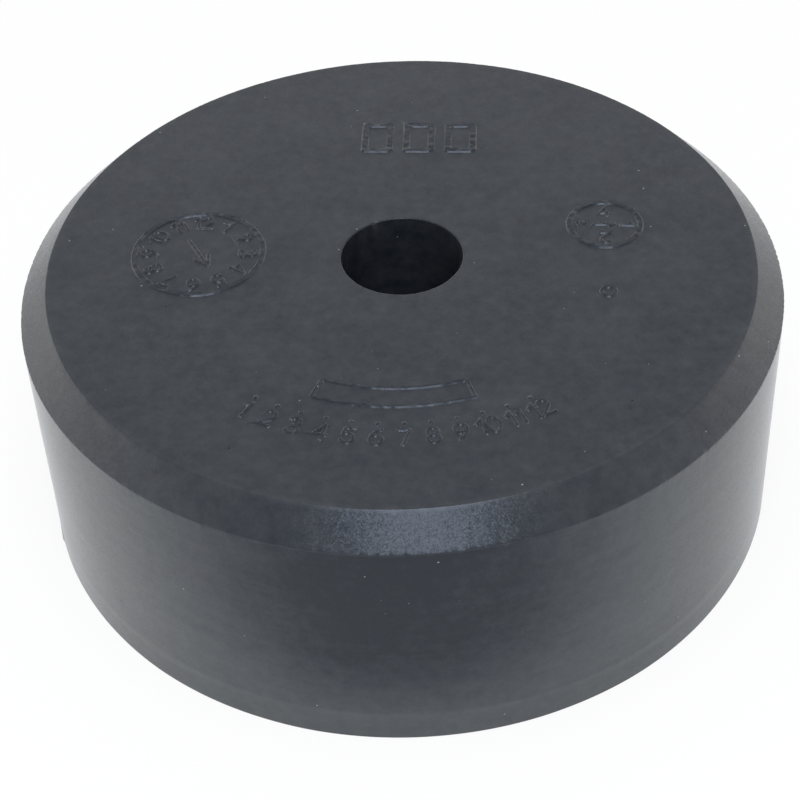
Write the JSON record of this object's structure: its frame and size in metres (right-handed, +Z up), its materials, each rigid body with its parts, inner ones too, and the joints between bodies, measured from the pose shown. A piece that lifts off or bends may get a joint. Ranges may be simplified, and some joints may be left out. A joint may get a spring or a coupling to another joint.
{
  "type": "impact buffer",
  "caption": "Round impact buffer: a chamfered black cellular polyurethane block with a central bore and a steel anchor plate moulded into its base. It shortens when something lands on it.",
  "frame": {"origin": "centre of the base face that sits on the pit floor", "axes": "+Z up along the bore, towards the strike face; the block is round, so X and Y are equal, and +X passes through the middle of a key hole in the anchor plate"},
  "size_m": [0.215, 0.215, 0.08],
  "materials": {
    "cellular_pu": "matte",
    "zinc_steel": "satin"
  },
  "bodies": {
    "base": {"foot_zone": "cellular_pu", "cellular_column": "cellular_pu", "anchor_plate": "zinc_steel"},
    "crown": {"strike_crown": "cellular_pu"}
  },
  "joints": [
    {"name": "compression", "type": "slide", "parent": "base", "child": "crown", "axis": [0, 0, -1], "range_m": [0, 0.056], "stiffness_N_per_m": 1500000, "deforming": ["cellular_column"]}
  ]
}
